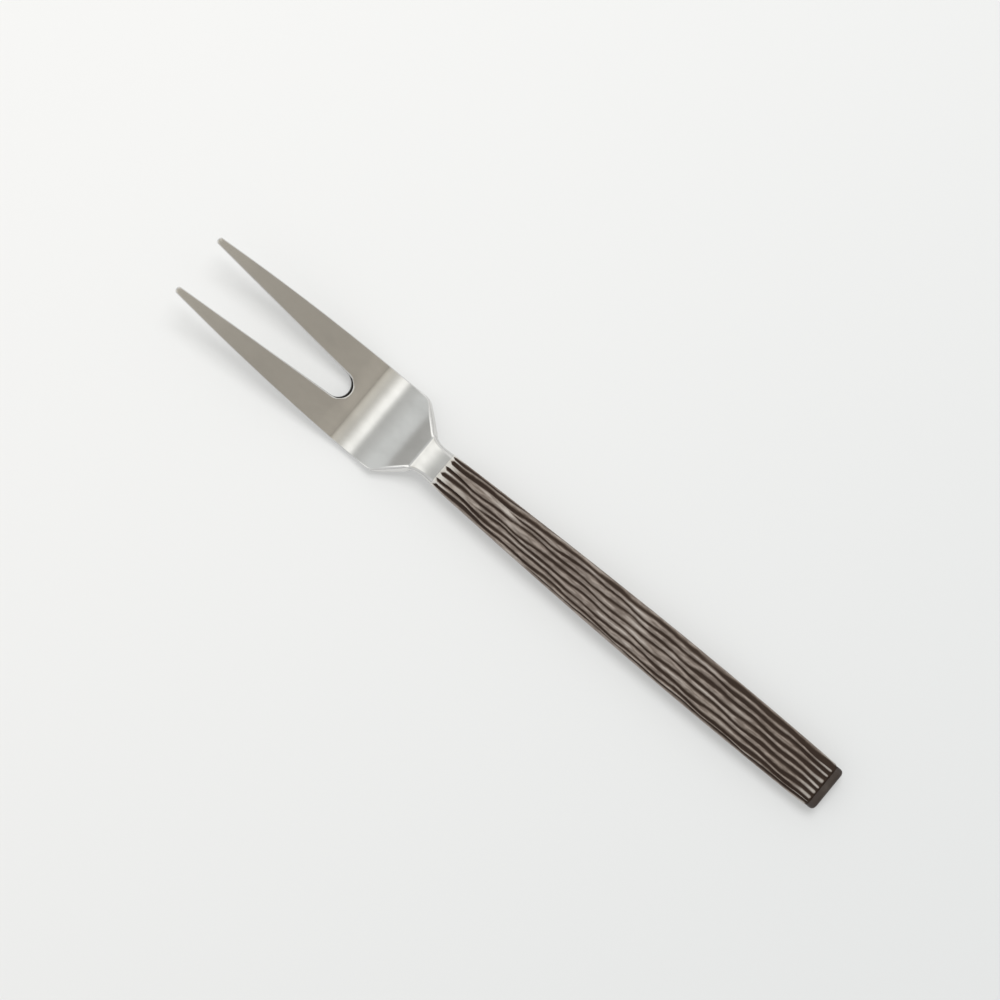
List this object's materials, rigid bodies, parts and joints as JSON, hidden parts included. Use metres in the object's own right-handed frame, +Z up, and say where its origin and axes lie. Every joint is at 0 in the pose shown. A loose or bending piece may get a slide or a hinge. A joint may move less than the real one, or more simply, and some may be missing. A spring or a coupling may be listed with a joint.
{
  "type": "cold meat fork",
  "caption": "Serving fork for cold meats: a pressed steel head with tines, shoulder and waisted neck, its tang bedded in a hollow blackened handle with wavy bark-like ribs and a plain end cap.",
  "frame": {"origin": "on the table under the middle of the fork's box, with the fork lying on its heel and its handle's end", "axes": "+X along the fork from the tine tips to the end of the handle, +Y across the tines, +Z up"},
  "size_m": [0.2002, 0.023, 0.0131],
  "materials": {
    "bright_steel": "satin polished stainless steel",
    "blackened_ribs": "blackened steel with the rib tops rubbed back to a brown grey",
    "blackened_cap": "blackened steel, plain",
    "cement": "rough grey cement"
  },
  "bodies": {
    "root": {"fork_head": "bright_steel", "handle_upper_shell": "blackened_ribs", "handle_lower_shell": "blackened_ribs", "handle_end_cap": "blackened_cap", "handle_filler": "cement"}
  },
  "joints": []
}
